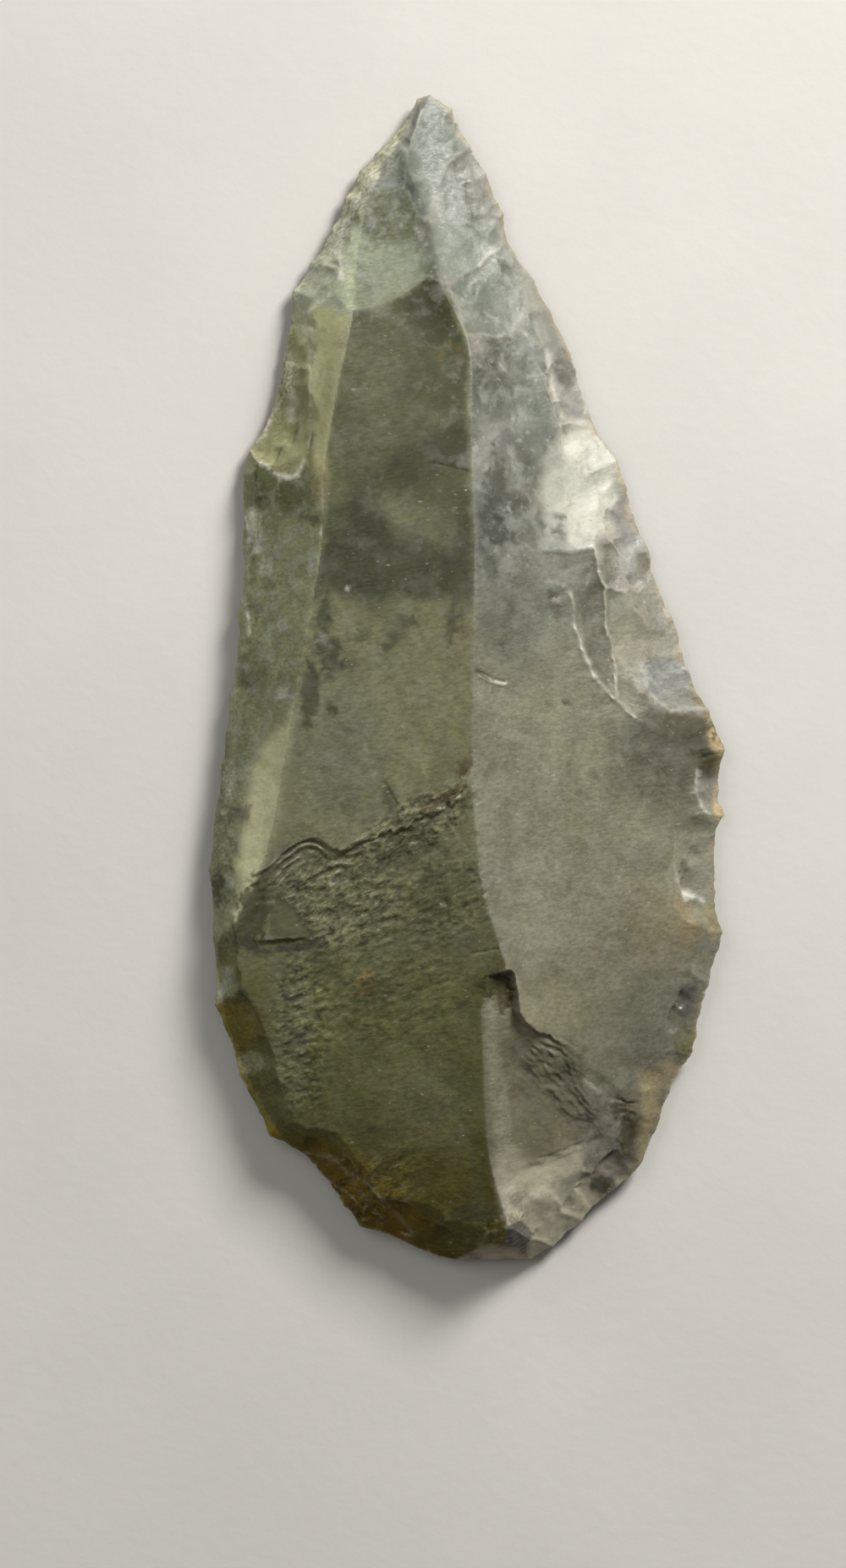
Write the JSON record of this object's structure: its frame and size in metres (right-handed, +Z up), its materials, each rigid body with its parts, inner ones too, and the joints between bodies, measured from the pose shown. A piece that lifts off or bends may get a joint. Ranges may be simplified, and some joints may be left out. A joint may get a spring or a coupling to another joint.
{
  "type": "mousterian point",
  "caption": "Leaf-shaped flint flake worked to a point on its upper face, with a ridged back, trimmed edges, a small striking platform and a smooth, slightly bulbed lower face.",
  "frame": {"origin": "centre of the bounding box, on the level that the stone rests on", "axes": "+Y towards the tip, +X to the right of the worked face, +Z up out of the worked face; the stone lies on its lower face"},
  "size_m": [0.055, 0.124, 0.0132],
  "materials": {
    "flint": "satin, olive grey flint with paler patina on ridges and thin edges"
  },
  "bodies": {
    "root": {"mousterian_point": "flint"}
  },
  "joints": []
}
